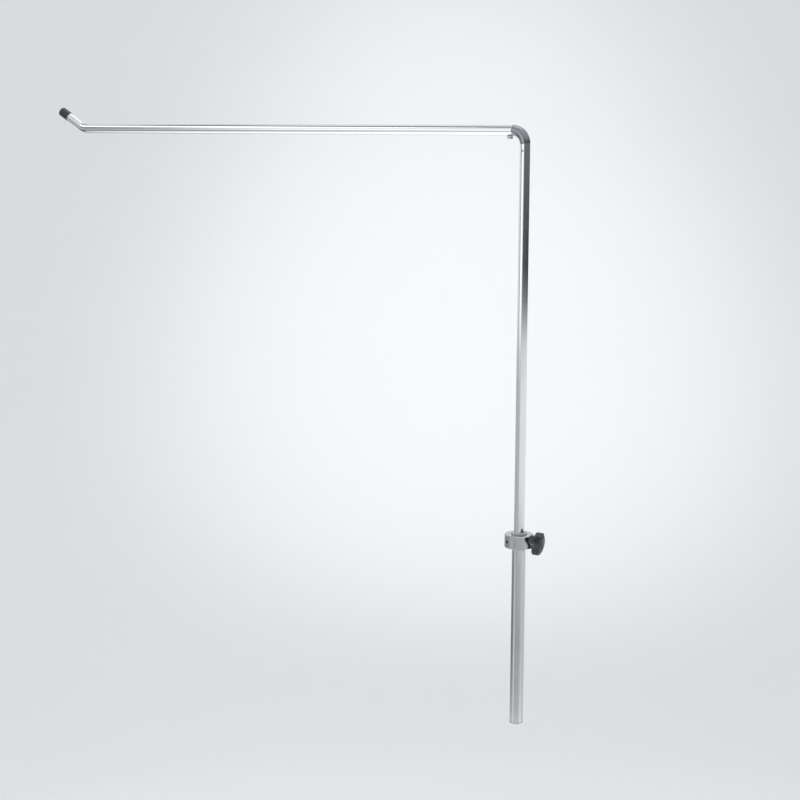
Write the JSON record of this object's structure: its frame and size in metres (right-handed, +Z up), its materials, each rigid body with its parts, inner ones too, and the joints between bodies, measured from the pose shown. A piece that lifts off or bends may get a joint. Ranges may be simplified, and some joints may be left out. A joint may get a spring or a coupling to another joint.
{
  "type": "anaesthesia screen frame",
  "caption": "L-shaped steel screen frame for an operating table: a rail-clamped post with a sliding, turning upright, a long arm with an upturned end and a black lobed clamp knob.",
  "frame": {"origin": "centre of the post's lower end, on the post's axis", "axes": "+Z up the post, arm along -X, clamp knob towards +X"},
  "size_m": [0.7184, 0.034, 0.7271],
  "materials": {
    "polished_tube": "polished stainless steel tube",
    "polished_fitting": "polished stainless steel casting or turned part",
    "screw_steel": "plain stainless steel fastener",
    "pad_brass": "turned brass",
    "knob_plastic": "fine-grained moulded black plastic",
    "cap_plastic": "smooth black plastic",
    "bush_plastic": "light grey machined plastic",
    "ring_plastic": "natural machined plastic",
    "buffer_rubber": "matt black rubber"
  },
  "bodies": {
    "post": {"lower_tube": "polished_tube", "bottom_plug": "polished_fitting", "bottom_buffer": "buffer_rubber", "clamp_collar": "polished_fitting", "grub_screw_front": "screw_steel", "grub_screw_back": "screw_steel", "guide_bush": "bush_plastic"},
    "slider": {"guide_ring": "ring_plastic"},
    "screen": {"rod_plug": "bush_plastic", "plug_pin": "screw_steel", "upright_tube": "polished_tube", "elbow": "polished_fitting", "elbow_pin": "screw_steel", "arm_tube": "polished_tube", "arm_lock_screw": "screw_steel", "arm_end_cap": "cap_plastic"},
    "pad": {"pressure_pad": "pad_brass"},
    "clamp_knob": {"clamp_screw": "screw_steel", "knob": "knob_plastic", "knob_cap": "cap_plastic"}
  },
  "joints": [
    {"name": "height_slide", "type": "slide", "parent": "post", "child": "slider", "axis": [0, 0, 1], "range_m": [-0.075, 0.09]},
    {"name": "arm_swivel", "type": "hinge", "parent": "slider", "child": "screen", "pos_m": [0, 0, 0], "axis": [0, 0, 1], "continuous": true},
    {"name": "screw_feed", "type": "slide", "parent": "post", "child": "pad", "axis": [1, 0, 0], "range_m": [0, 0.0015]},
    {"name": "knob_turn", "type": "hinge", "parent": "pad", "child": "clamp_knob", "pos_m": [0, 0, 0.224], "axis": [1, 0, 0], "range_deg": [0, 541]}
  ],
  "couplings": [
    {"joint": "knob_turn", "follows": "screw_feed", "rad_per_m": 6283.2}
  ]
}
